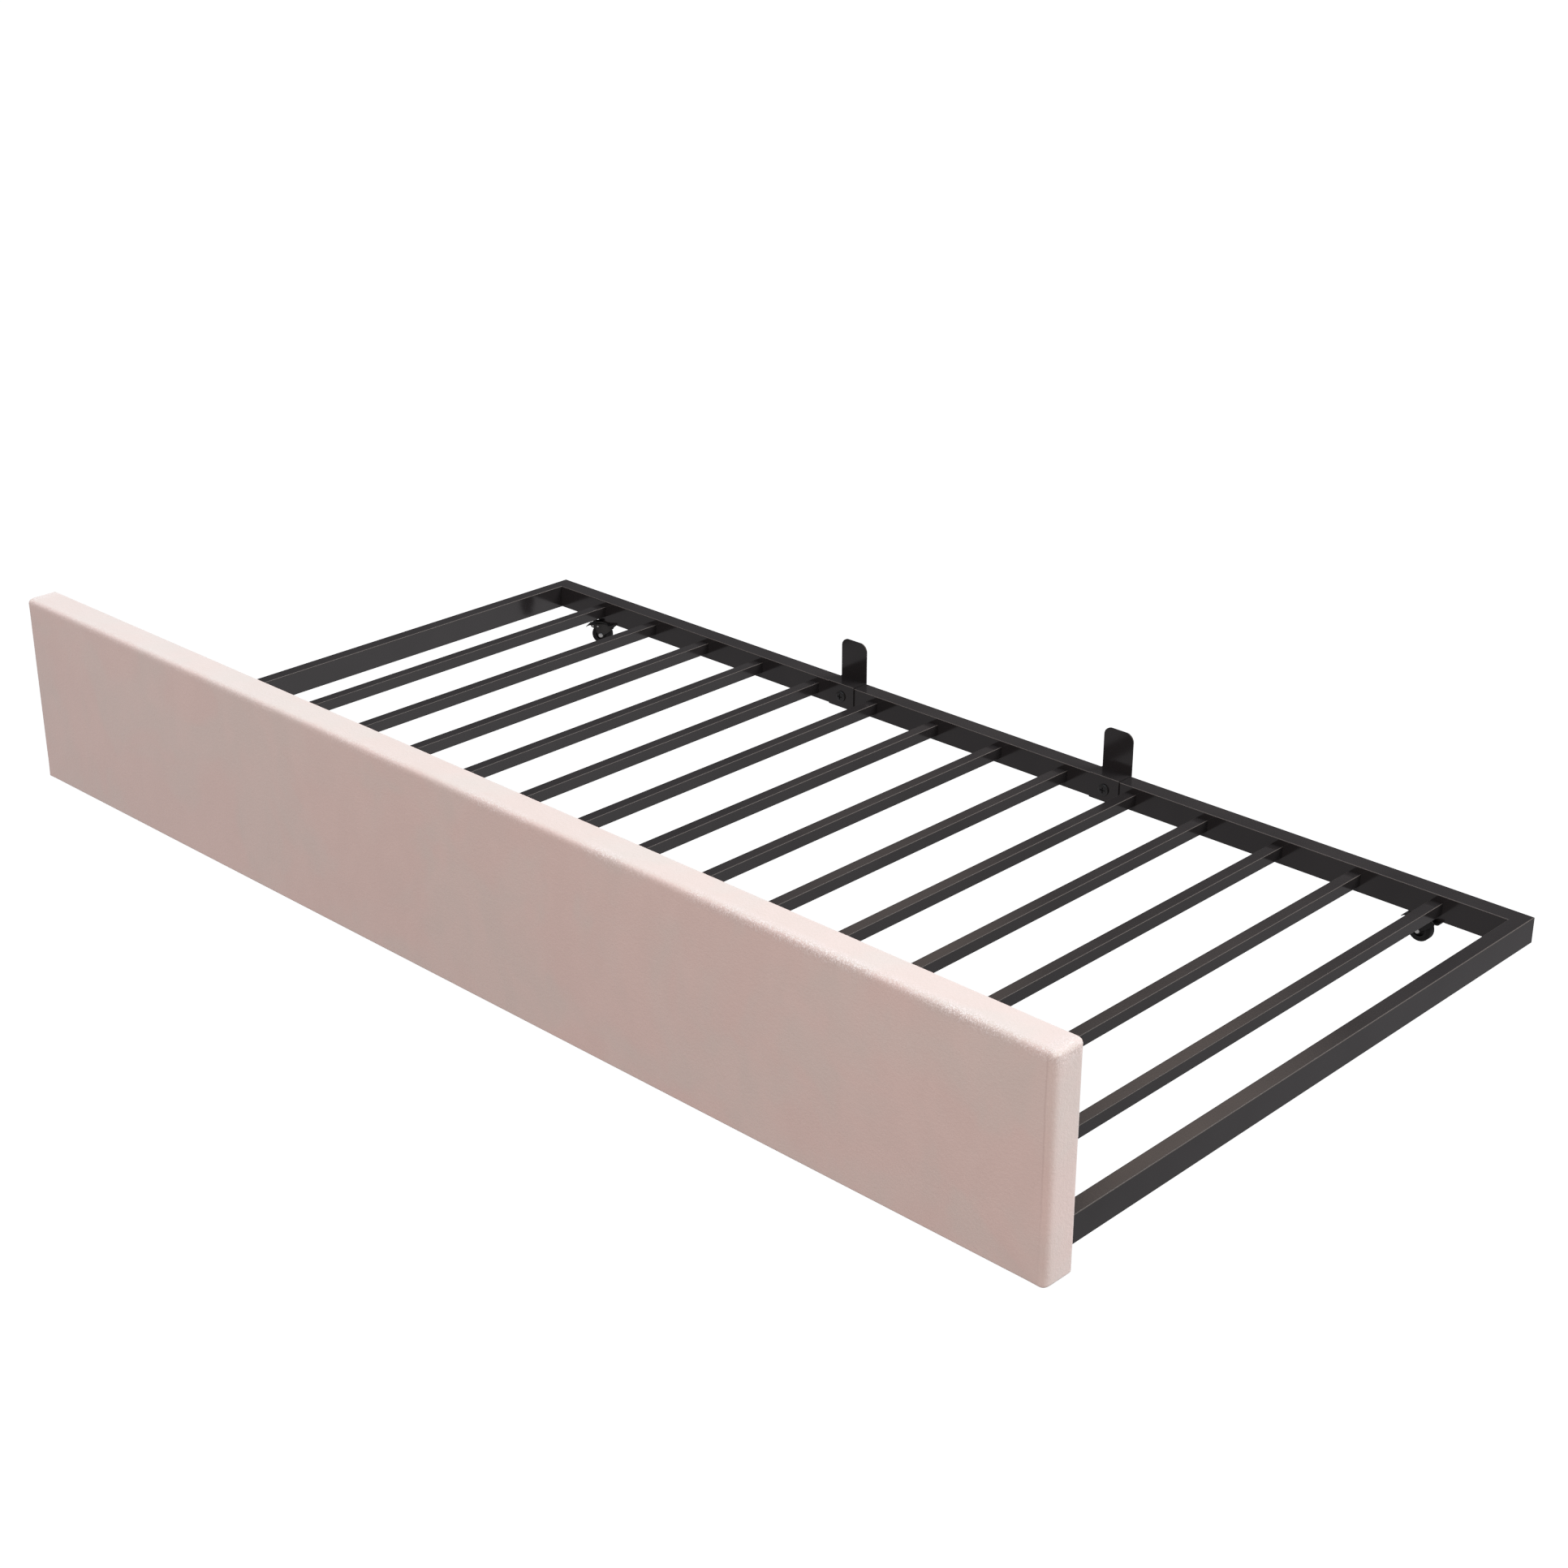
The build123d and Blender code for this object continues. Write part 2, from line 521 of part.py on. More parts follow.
def caster_pedal():
    """The brake lever: a round hub with a lobe over the tyre and a tread with a bent-down tip."""
    x, z = PEDAL_PIVOT
    hub = Location((x, z)) * Circle(PEDAL_HUB_RADIUS)
    to_wheel = Vector(-CASTER_OFFSET - x, WHEEL_RADIUS - z).normalized()
    lobe_way = to_wheel.rotate(Axis.Z, -PEDAL_TRAVEL)
    lobe_centre = Vector(x, z) + lobe_way * (PEDAL_LOBE_LENGTH - PEDAL_LOBE_RADIUS)
    lobe = Location(lobe_centre) * Circle(PEDAL_LOBE_RADIUS)
    half = PEDAL_THICKNESS / 2
    points = [(x, z + 2.6), (x - 6, z + 1.8), (-PEDAL_REACH + 3, z - 0.4), (-PEDAL_REACH, z - 4.0)]
    points += [(-PEDAL_REACH + PEDAL_THICKNESS, z - 4.0), (-PEDAL_REACH + 4, z - 2.0), (x - 6, z - 0.4)]
    points += [(x - 3, z - half), (x, z - half)]
    arm = make_face(Polyline(*points, close=True))
    profile = hub + lobe + arm
    half_width = FORK_INNER_HALF_WIDTH - MOVING_GAP
    pedal = side_prism(profile, -half_width, half_width)
    return pedal - rod(PEDAL_PIN_RADIUS + RUNNING_CLEARANCE, (x, -30, z), (x, 30, z))


def at_caster(name, piece):
    """A piece of one caster, moved to its swivel axis and turned about it."""
    x, y = CASTER_AXES[name]
    return Location((x, y, 0), (0, 0, CASTER_TURNS[name])) * piece


def at_caster_unturned(name, piece):
    """A piece that stays square to the frame, moved to one caster's swivel axis."""
    x, y = CASTER_AXES[name]
    return Location((x, y, 0)) * piece


def save(piece, name):
    """Writes one named piece of the bed."""
    export_step(piece, f"parts/{name}.step")


def group(pieces):
    """Several separate solids, as one node."""
    return Compound(children=[solid for piece in pieces for solid in piece.solids()])


os.makedirs("parts", exist_ok=True)

save(back_rail(), "rail_back")
save(front_rail(), "rail_front")
save(side_rail("left"), "rail_left")
save(side_rail("right"), "rail_right")
for number in range(SLAT_COUNT):
    save(slat(number), f"slat_{number + 1:02d}")
save(caster_carriers(), "caster_carriers")

for place, centre_x in STOP_CENTRES.items():
    save(mattress_stop(centre_x), f"mattress_stop_{place}")
save(group([stop_screw(centre_x) for centre_x in STOP_CENTRES.values()]), "mattress_stop_screws")

save(panel_board(), "panel_board")
save(panel_foam(), "panel_foam")
save(panel_cover(), "panel_cover")
save(panel_dust_cloth(), "panel_dust_cloth")
save(group([panel_bolt(x) for x in panel_bolt_places()]), "panel_bolts")
save(group([tee_nut(x) for x in panel_bolt_places()]), "panel_tee_nuts")

save(group([at_caster_unturned(name, kingpin()) for name in CASTER_AXES]), "caster_kingpins")
save(group([at_caster_unturned(name, swivel_bush()) for name in CASTER_AXES]), "caster_swivel_bushes")
screw_places = [place for name in CASTER_AXES for place in caster_screw_places(name)]
save(group([Location((x, y, 0)) * caster_screw() for x, y in screw_places]), "caster_screws")

for name in CASTER_AXES:
    save(at_caster_unturned(name, caster_plate()), f"{name}_plate")
    save(at_caster(name, caster_fork()), f"{name}_fork")
    save(at_caster(name, caster_axle()), f"{name}_axle")
    save(at_caster(name, caster_rivets()), f"{name}_rivets")
    save(at_caster(name, caster_hub()), f"{name}_wheel_hub")
    save(at_caster(name, caster_tyre()), f"{name}_tyre")
    save(at_caster(name, caster_pedal()), f"{name}_brake_pedal")
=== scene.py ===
import math

import bpy
import numpy as np
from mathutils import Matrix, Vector


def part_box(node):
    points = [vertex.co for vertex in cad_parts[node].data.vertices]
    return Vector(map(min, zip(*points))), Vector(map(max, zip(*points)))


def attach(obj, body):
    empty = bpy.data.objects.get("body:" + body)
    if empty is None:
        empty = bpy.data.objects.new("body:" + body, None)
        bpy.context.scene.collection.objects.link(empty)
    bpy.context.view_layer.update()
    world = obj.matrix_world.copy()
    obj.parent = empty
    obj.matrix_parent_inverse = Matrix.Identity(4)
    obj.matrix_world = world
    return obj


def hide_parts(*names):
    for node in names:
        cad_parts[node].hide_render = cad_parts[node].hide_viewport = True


# Trundle bed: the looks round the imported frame. Metres, with +X along the bed to the right, -Y to the
# front and +Z up, and the floor at Z = 0.

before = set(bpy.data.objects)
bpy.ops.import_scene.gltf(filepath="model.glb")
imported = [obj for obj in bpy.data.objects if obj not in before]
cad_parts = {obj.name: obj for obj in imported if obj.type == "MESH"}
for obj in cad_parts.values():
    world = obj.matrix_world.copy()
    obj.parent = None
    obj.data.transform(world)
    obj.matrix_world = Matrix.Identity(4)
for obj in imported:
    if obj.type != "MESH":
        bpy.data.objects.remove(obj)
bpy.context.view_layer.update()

# Padded front panel
PAD_DROP = 0.0028  # how far the padding hangs below the board's CAD cover
PAD_STRETCH = 0.0010  # and past each of its ends
LOW_RADII = (0.0045, 0.0100, 0.0030)  # rounding at the left, front and bottom
HIGH_RADII = (0.0080, 0.0040, 0.0075)  # rounding at the right, back and top
PAD_EDGE_LINES = (0.0, 0.0012, 0.0027, 0.0046, 0.0070, 0.0100, 0.0140)  # grid lines, in from each edge
PAD_STEP = 0.009  # grid step on the panel's flat parts
CREASE_SHADE_INSET = 0.0085  # from the cover's right end to the painted shade line down its front

# The cloth simulation that crowns the panel's front
PAD_PRESSURE = 4.0
PAD_CLOTH_MASS = 0.35
PAD_CLOTH_STIFFNESS = 15.0
PAD_FRAMES = 20
FRONT_SWELL = 0.0022  # how far the front crowns in its middle

# Cloth that closes the panel's back
BACKING_OVERLAP = 0.007  # over the cover's turned border
BACKING_STEP = 0.008
BACKING_GAP = 0.0004  # from the panel's back to the cloth
BACKING_SLACK = 0.0022  # how far the cloth hangs free of the panel
BACKING_EASE = 0.05  # in from the cloth's edges to where it hangs free
SCALLOP = 0.0018  # how far the cloth's edge draws in between staples
STAPLE_PITCH = 0.062
STAPLE_WIDTH = 0.0105
STAPLE_LEG = 0.003
STAPLE_WIRE = 0.00055  # radius of the wire
STAPLE_WIRE_SIDES = 8
STAPLE_BEND = 0.0008  # across each of the wire's bends
STAPLE_INSET = 0.0045  # from the cloth's edge to the staples
STAPLE_TILT = 9.0  # degrees, at most

# Rounded edges: the largest part of the normal, in the piece's own axes, where one starts and is full
EDGE_START = 0.995
EDGE_FULL = 0.93

# Film response: the level of light that shows as white, and how brightly lower levels show
FILM_WHITE = 1.25
FILM_SHOULDER = ((0.3, 0.3), (0.5, 0.495), (0.7, 0.665), (0.87, 0.799), (1.08, 0.905))
COMBINED_CURVE = 3  # after red, green and blue

# Camera
CAMERA_PLACE = (2.3676, -2.3655, 1.6342)
CAMERA_TILT = 65.99  # degrees up from straight down
CAMERA_TURN = 43.96  # degrees anticlockwise from facing +Y
CAMERA_LENS = 60.0  # millimetres, as is the sensor's width
CAMERA_SENSOR = 36.0
CAMERA_REACH = 200.0  # past the backdrop's far side

# Floor, backdrop and lights
FLOOR_HALF = 40.0
BACKDROP_RADIUS = 90.0
BACKDROP_LINES = 13
BACKGROUND_LIGHT = 1.27  # the floor's and backdrop's own light, just past FILM_WHITE
LIGHT_DISTANCE = 12.0

# Surroundings: their colours below, level and overhead, and the sines of the heights they change between
BELOW = (0.37, 0.36, 0.37)
LEVEL = (0.130, 0.126, 0.130)
OVERHEAD = (0.62, 0.78, 0.94)
BELOW_TO_LEVEL = (-0.12, 0.08)
LEVEL_TO_OVERHEAD = (0.55, 1.0)

# Soft patches of light in the surroundings: azimuth, elevation and half-width in degrees, strength, colour
WARM = (1.0, 0.80, 0.68)
NEUTRAL = (1.0, 0.98, 1.0)
PALE_WARM = (1.0, 0.89, 0.82)
PATCHES = (
    (126, 50, 16, 0.40, WARM),
    (123.3, 31.8, 3.5, 5.0, WARM),
    (131, 28.5, 4, 0.7, WARM),
    (28, -18, 22, 0.48, NEUTRAL),
    (78, 52, 14, 5.2, PALE_WARM),
)


# Node helpers


def node(tree, kind, inputs=None, **settings):
    """Adds one shader node. Each input is a plain value, or another node's output to link."""
    made = tree.nodes.new(kind)
    for name, value in settings.items():
        setattr(made, name, value)
    for name, value in (inputs or {}).items():
        if isinstance(value, bpy.types.NodeSocket):
            tree.links.new(value, made.inputs[name])
        else:
            made.inputs[name].default_value = value
    return made


def mix(tree, factor, first, second):
    """Mixes two colours, each a plain colour or a socket. The node's colour sockets are 6 and 7."""
    made = tree.nodes.new("ShaderNodeMix")
    made.data_type = "RGBA"
    for index, value in ((0, factor), (6, first), (7, second)):
        if isinstance(value, bpy.types.NodeSocket):
            tree.links.new(value, made.inputs[index])
        elif index == 0:
            made.inputs[index].default_value = value
        else:
            made.inputs[index].default_value = (*value, 1)
    return made.outputs[2]


def spread(tree, value, low, high, to_low=0.0, to_high=1.0):
    """Maps a value from one range to another, smoothly and clamped."""
    inputs = {"Value": value, "From Min": low, "From Max": high, "To Min": to_low, "To Max": to_high}
    made = node(tree, "ShaderNodeMapRange", inputs, interpolation_type="SMOOTHSTEP")
    return made.outputs["Result"]


def nearness(tree, distance, near, far):
    """1 within the near distance of something and 0 beyond the far one."""
    return spread(tree, distance, far, near)


def maths(tree, operation, first, second=0.0):
    """One sum on two values or sockets."""
    return node(tree, "ShaderNodeMath", {0: first, 1: second}, operation=operation).outputs[0]


def times(tree, first, second):
    """The product of two values or sockets."""
    return maths(tree, "MULTIPLY", first, second)


def own_coordinates(tree):
    """The place on the surface in the piece's own coordinates, as a vector socket."""
    return node(tree, "ShaderNodeTexCoord").outputs["Object"]


def own_xyz(tree):
    """The same place as three sockets."""
    return node(tree, "ShaderNodeSeparateXYZ", {0: own_coordinates(tree)}).outputs


def noise(tree, scale, detail=2.0, roughness=0.5, distortion=0.0, stretch=(1, 1, 1)):
    """Smooth noise in the piece's own coordinates, with scale in patches per metre."""
    mapping = node(tree, "ShaderNodeMapping", {"Vector": own_coordinates(tree), "Scale": stretch})
    inputs = {
        "Vector": mapping.outputs["Vector"],
        "Scale": scale,
        "Detail": detail,
        "Roughness": roughness,
        "Distortion": distortion,
    }
    return node(tree, "ShaderNodeTexNoise", inputs).outputs["Fac"]


def bump(tree, height, distance, strength=1.0, below=None):
    """Raises the surface by a height map, on top of another bump if given. Strength may be a socket."""
    inputs = {"Height": height, "Distance": distance, "Strength": strength}
    if below:
        inputs["Normal"] = below
    return node(tree, "ShaderNodeBump", inputs).outputs["Normal"]


def edges_of(tree):
    """1 where a surface turns between two of the piece's own axes, such as a tube's rounded edge."""
    normal = node(tree, "ShaderNodeTexCoord").outputs["Normal"]
    absolute = node(tree, "ShaderNodeVectorMath", {0: normal}, operation="ABSOLUTE").outputs[0]
    parts = node(tree, "ShaderNodeSeparateXYZ", {0: absolute}).outputs
    largest = maths(tree, "MAXIMUM", maths(tree, "MAXIMUM", parts[0], parts[1]), parts[2])
    return spread(tree, largest, EDGE_START, EDGE_FULL)


def new_material(name):
    """An empty principled material, with its tree and shader."""
    made = bpy.data.materials.new(name)
    made.use_nodes = True
    return made, made.node_tree, made.node_tree.nodes["Principled BSDF"]


def wire(tree, shader, **sockets):
    """Links sockets to the shader's inputs, named with underscores for spaces."""
    for name, socket in sockets.items():
        tree.links.new(socket, shader.inputs[name.replace("_", " ")])


def fix(shader, **values):
    """Sets plain values on the shader's own inputs."""
    for name, value in values.items():
        shader.inputs[name.replace("_", " ")].default_value = value


# Materials


def crinkled_edge(tree):
    """Where the cover is drawn over the panel's front top edge and end corners: 1 there, in patches."""
    low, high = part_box("panel_cover")
    x, y, z = own_xyz(tree)
    from_top = maths(tree, "SUBTRACT", high[2], z)
    from_front = maths(tree, "SUBTRACT", y, low[1])
    from_end = maths(tree, "SUBTRACT", high[0], maths(tree, "ABSOLUTE", x))
    along_top = nearness(tree, maths(tree, "ADD", from_top, from_front), near=0.004, far=0.017)
    corner = nearness(tree, maths(tree, "ADD", from_top, from_end), near=0.004, far=0.030)
    patches = spread(tree, noise(tree, 9.0, 3.0, 0.6), 0.36, 0.58, to_low=0.25)
    rightward = spread(tree, x, -0.4, 0.9, to_low=0.35)
    strength = times(tree, patches, rightward)
    return maths(tree, "MAXIMUM", times(tree, along_top, strength), times(tree, corner, 0.6))


def crease_shade_line(tree):
    """A painted shade line: a faint darker line down the front where the cover turns round the board's right
    edge.
    """
    low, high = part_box("panel_cover")
    x, y, z = own_xyz(tree)
    wander = spread(tree, noise(tree, 14.0, 2.0), 0.3, 0.7, to_low=-0.0008, to_high=0.0008)
    from_line = maths(tree, "ADD", maths(tree, "SUBTRACT", x, high[0] - CREASE_SHADE_INSET), wander)
    line = nearness(tree, maths(tree, "ABSOLUTE", from_line), near=0.0003, far=0.0017)
    in_front = nearness(tree, y, near=low[1] + 0.004, far=low[1] + 0.007)
    fading = spread(tree, z, low[2] + 0.03, high[2] - 0.10, to_low=0.25)
    return times(tree, times(tree, line, in_front), fading)


def painted_light_leftward(tree):
    """Painted light: the cover is drawn a little paler towards its left end, standing in for light falling
    there.
    """
    return spread(tree, own_xyz(tree)[0], 0.1, -0.9, to_high=0.09)


def velvet():
    """Blush-pink short-pile velvet: soft clouded colour, clumped pile and a pale sheen."""
    made, tree, shader = new_material("velvet_blush")
    clouds = spread(tree, noise(tree, 6.5, 3.0, 0.55, distortion=0.7), 0.40, 0.60)
    strokes = spread(tree, noise(tree, 26.0, distortion=0.4, stretch=(1.0, 1.0, 0.6)), 0.35, 0.70)
    pile = noise(tree, 760.0, 1.0, 0.6)
    clumps = noise(tree, 240.0, 2.0, 0.55)
    tone = mix(tree, clouds, (0.556, 0.397, 0.354), (0.530, 0.410, 0.366))
    tone = mix(tree, times(tree, strokes, 0.35), tone, (0.600, 0.425, 0.380))
    tone = mix(tree, spread(tree, pile, 0.30, 0.70, to_high=0.16), tone, (0.42, 0.285, 0.250))
    # painted light: a paler tone towards the left end, in place of the light that end would get
    tone = mix(tree, painted_light_leftward(tree), tone, (0.80, 0.69, 0.66))
    ridge = crinkled_edge(tree)
    crinkles = noise(tree, 520.0, 3.0, 0.60, distortion=0.8, stretch=(1.35, 1.0, 0.8))
    crest_highlight = spread(tree, crinkles, 0.50, 0.62)
    # painted highlight: the crinkles' crests along the front top edge and right corner are drawn pale, as
    # pile catching the light
    tone = mix(tree, times(tree, ridge, crest_highlight), tone, (0.80, 0.66, 0.62))
    # painted shade: a darker line down the front near the right end, where the rounding turns into shade
    tone = mix(tree, times(tree, crease_shade_line(tree), 0.30), tone, (0.36, 0.25, 0.22))
    normal = bump(tree, clumps, 0.0007, 0.50)
    normal = bump(tree, pile, 0.0004, 0.50, normal)
    normal = bump(tree, times(tree, ridge, crinkles), 0.0013, 0.9, normal)
    wire(tree, shader, Base_Color=tone, Normal=normal)
    wire(tree, shader, Roughness=spread(tree, clumps, 0.30, 0.70, to_low=0.78, to_high=0.92))
    fix(shader, Specular_IOR_Level=0.15, Sheen_Weight=0.55, Sheen_Roughness=0.42)
    fix(shader, Sheen_Tint=(0.94, 0.91, 0.92, 1.0))
    return made


def powder_coat():
    """Charcoal powder coat on the steel frame: fine orange peel, duller along the tubes' edges, with a paler
    warm tone there that is a painted highlight.
    """
    made, tree, shader = new_material("powder_coat_charcoal")
    cloud = noise(tree, 9.0, 2.0)
    speckle = noise(tree, 1400.0, 1.0)
    edge = edges_of(tree)
    tone = mix(tree, spread(tree, cloud, 0.3, 0.7), (0.0125, 0.0104, 0.0104), (0.0155, 0.0130, 0.0130))
    tone = mix(tree, spread(tree, speckle, 0.60, 0.78, to_high=0.5), tone, (0.020, 0.0185, 0.0185))
    # painted highlight: a paler, warm tone along the tubes' rounded edges, for their thin light lines
    tone = mix(tree, times(tree, edge, 0.32), tone, (0.180, 0.145, 0.128))
    rough = spread(tree, cloud, 0.30, 0.70, to_low=0.12, to_high=0.16)
    rough = maths(tree, "ADD", rough, times(tree, edge, 0.22))
    on_flats = times(tree, maths(tree, "SUBTRACT", 1.0, edge), 0.5)
    normal = bump(tree, noise(tree, 330.0), 0.00003, on_flats)
    normal = bump(tree, speckle, 0.00001, on_flats, normal)
    wire(tree, shader, Base_Color=tone, Roughness=rough, Normal=normal)
    fix(shader, Specular_IOR_Level=0.5)
    return made


def caster_paint():
    """Black paint on the casters' pressed steel."""
    made, tree, shader = new_material("caster_black_paint")
    cloud = noise(tree, 60.0, 3.0)
    tone = mix(tree, cloud, (0.0045, 0.0042, 0.0042), (0.0095, 0.0090, 0.0090))
    tone = mix(tree, times(tree, edges_of(tree), 0.35), tone, (0.055, 0.052, 0.050))
    wire(tree, shader, Base_Color=tone, Roughness=spread(tree, cloud, 0.3, 0.7, 0.26, 0.40))
    fix(shader, Specular_IOR_Level=0.35)
    wire(tree, shader, Normal=bump(tree, noise(tree, 900.0, 2.0), 0.00006, 0.5))
    return made


def black_plastic():
    """Moulded black plastic, with a fine spark-eroded grain."""
    made, tree, shader = new_material("moulded_black_plastic")
    grain = noise(tree, 2200.0, 2.0)
    cloud = noise(tree, 45.0, 2.0)
    tone = mix(tree, cloud, (0.0045, 0.0043, 0.0043), (0.0085, 0.0082, 0.0082))
    wire(tree, shader, Base_Color=tone, Roughness=spread(tree, cloud, 0.3, 0.7, 0.34, 0.48))
    wire(tree, shader, Normal=bump(tree, grain, 0.00005, 0.6))
    fix(shader, Specular_IOR_Level=0.35)
    return made


def tyre_rubber():
    """Dark grey tread, duller and a little dusty."""
    made, tree, shader = new_material("tyre_rubber")
    dust = noise(tree, 130.0, 4.0, 0.65)
    tone = mix(tree, spread(tree, dust, 0.45, 0.75), (0.0060, 0.0058, 0.0058), (0.0150, 0.0142, 0.0138))
    wire(tree, shader, Base_Color=tone, Roughness=spread(tree, dust, 0.3, 0.7, 0.50, 0.72))
    fix(shader, Specular_IOR_Level=0.35)
    wire(tree, shader, Normal=bump(tree, noise(tree, 1500.0, 3.0), 0.00008, 0.6))
    return made


def bright_zinc():
    """Bright zinc on rivets, bolts and nuts, with faint turning marks."""
    made, tree, shader = new_material("bright_zinc")
    cloud = noise(tree, 320.0, 3.0)
    tone = mix(tree, cloud, (0.62, 0.62, 0.60), (0.82, 0.82, 0.80))
    wire(tree, shader, Base_Color=tone, Roughness=spread(tree, cloud, 0.3, 0.7, 0.20, 0.34))
    wire(tree, shader, Normal=bump(tree, noise(tree, 2600.0, 2.0), 0.00004, 0.5))
    fix(shader, Metallic=1.0)
    return made


def blackened_screw():
    """The stop screws' dark finish, with brighter worn edges."""
    made, tree, shader = new_material("blackened_screw")
    cloud = noise(tree, 380.0, 3.0)
    tone = mix(tree, cloud, (0.006, 0.0055, 0.0055), (0.012, 0.011, 0.011))
    tone = mix(tree, times(tree, edges_of(tree), 0.10), tone, (0.10, 0.095, 0.09))
    wire(tree, shader, Base_Color=tone, Roughness=spread(tree, cloud, 0.3, 0.7, 0.24, 0.36))
    wire(tree, shader, Normal=bump(tree, noise(tree, 2000.0, 2.0), 0.00004, 0.5))
    return made


def dust_cloth():
    """Black spun-bonded cloth with a fine field of pressed dots."""
    made, tree, shader = new_material("dust_cloth_black")
    inputs = {"Vector": own_coordinates(tree), "Scale": 620.0, "Randomness": 0.15}
    dots = node(tree, "ShaderNodeTexVoronoi", inputs).outputs["Distance"]
    fibres = noise(tree, 900.0, 4.0, 0.7, distortion=1.2)
    tone = mix(tree, spread(tree, fibres, 0.35, 0.70), (0.0100, 0.0088, 0.0085), (0.0260, 0.0230, 0.0220))
    normal = bump(tree, spread(tree, dots, 0.15, 0.45), 0.00012, 0.7)
    normal = bump(tree, fibres, 0.00010, 0.5, normal)
    wire(tree, shader, Base_Color=tone, Normal=normal)
    wire(tree, shader, Roughness=spread(tree, fibres, 0.30, 0.70, 0.72, 0.90))
    fix(shader, Specular_IOR_Level=0.25, Sheen_Weight=0.08)
    return made


def board_wood():
    """Pale plywood."""
    made, tree, shader = new_material("plywood")
    grain = noise(tree, 14.0, 4.0, 0.6, distortion=0.6, stretch=(1.0, 8.0, 12.0))
    tone = mix(tree, spread(tree, grain, 0.3, 0.7), (0.58, 0.42, 0.27), (0.44, 0.30, 0.18))
    wire(tree, shader, Base_Color=tone, Roughness=spread(tree, grain, 0.3, 0.7, 0.55, 0.72))
    wire(tree, shader, Normal=bump(tree, grain, 0.0002, 0.5))
    return made


def studio_floor():
    """The pale floor: an even light of its own, on a ground too dark to take a shadow."""
    made, tree, shader = new_material("studio_floor")
    wire(tree, shader, Base_Color=mix(tree, noise(tree, 3.0), (0.018, 0.018, 0.018), (0.022, 0.022, 0.022)))
    fix(shader, Roughness=0.9, Specular_IOR_Level=0.0)
    fix(shader, Emission_Color=(1.0, 1.0, 1.0, 1.0), Emission_Strength=BACKGROUND_LIGHT)
    return made


def white_backdrop():
    """The even white behind the floor's far edge."""
    made, tree, shader = new_material("white_backdrop")
    fix(shader, Base_Color=(0.0, 0.0, 0.0, 1.0), Specular_IOR_Level=0.0)
    fix(shader, Emission_Color=(1.0, 1.0, 1.0, 1.0), Emission_Strength=BACKGROUND_LIGHT)
    return made


# Padded panel


def axis_lines(low, high):
    """Grid lines across one axis of the pad: even in the middle, finer towards the edges."""
    edge = PAD_EDGE_LINES[-1]
    steps = max(3, round((high - low - 2 * edge) / PAD_STEP))
    first = [low + distance for distance in PAD_EDGE_LINES[:-1]]
    middle = np.linspace(low + edge, high - edge, steps + 1)
    last = [high - distance for distance in reversed(PAD_EDGE_LINES[:-1])]
    return [*first, *middle, *last]


def box_grid(lines):
    """Points and faces of a closed box whose sides are divided by three lists of lines."""
    counts = [len(values) - 1 for values in lines]
    indices, faces = {}, []
    for axis in range(3):
        across, along = (axis + 1) % 3, (axis + 2) % 3
        for side in (0, counts[axis]):
            for a in range(counts[across]):
                for b in range(counts[along]):
                    ring = [(a, b), (a + 1, b), (a + 1, b + 1), (a, b + 1)]
                    keys = []
                    for first, second in ring if side else reversed(ring):
                        key = [0, 0, 0]
                        key[axis], key[across], key[along] = side, first, second
                        keys.append(tuple(key))
                    faces.append([indices.setdefault(key, len(indices)) for key in keys])
    points = np.array([[lines[axis][key[axis]] for axis in range(3)] for key in indices])
    return points, faces


def smooth(share):
    """A smooth step from 0 to 1."""
    share = np.clip(share, 0.0, 1.0)
    return share * share * (3 - 2 * share)


def rounded(points, low, high):
    """Moves a box's surface points onto the same box with rounded edges, by LOW_RADII and HIGH_RADII."""
    radii = np.where(points < (low + high) / 2, LOW_RADII, HIGH_RADII)
    inner = np.clip(points, low + LOW_RADII, high - HIGH_RADII)
    away = (points - inner) / radii
    return inner + radii * away / np.linalg.norm(away, axis=1)[:, None]


def new_mesh(name, points, faces):
    """A smooth-shaded mesh object."""
    mesh = bpy.data.meshes.new(name)
    mesh.from_pydata([tuple(p) for p in points], [], faces)
    mesh.update()
    made = bpy.data.objects.new(name, mesh)
    bpy.context.scene.collection.objects.link(made)
    mesh.shade_smooth()
    return made


def coordinates_of(mesh):
    """A mesh's points as an array."""
    flat = np.zeros(len(mesh.vertices) * 3)
    mesh.vertices.foreach_get("co", flat)
    return flat.reshape(-1, 3)


def swell(pad, pinned):
    """Blows the pad up with a short cloth simulation, with the pinned points held."""
    group = pad.vertex_groups.new(name="held")
    group.add([int(index) for index in np.flatnonzero(pinned)], 1.0, "REPLACE")
    cloth = pad.modifiers.new("swell", "CLOTH")
    cloth.settings.vertex_group_mass = "held"
    cloth.settings.use_pressure = True
    cloth.settings.uniform_pressure_force = PAD_PRESSURE
    cloth.settings.effector_weights.gravity = 0.0
    cloth.settings.mass = PAD_CLOTH_MASS
    cloth.settings.tension_stiffness = PAD_CLOTH_STIFFNESS
    cloth.settings.compression_stiffness = PAD_CLOTH_STIFFNESS
    cloth.collision_settings.use_collision = False
    cloth.point_cache.frame_start = 1
    cloth.point_cache.frame_end = PAD_FRAMES
    scene = bpy.context.scene
    for number in range(1, PAD_FRAMES + 1):
        scene.frame_set(number)
    evaluated = pad.evaluated_get(bpy.context.evaluated_depsgraph_get())
    swollen = coordinates_of(evaluated.data)
    pad.modifiers.remove(cloth)
    pad.vertex_groups.remove(group)
    scene.frame_set(1)
    return swollen


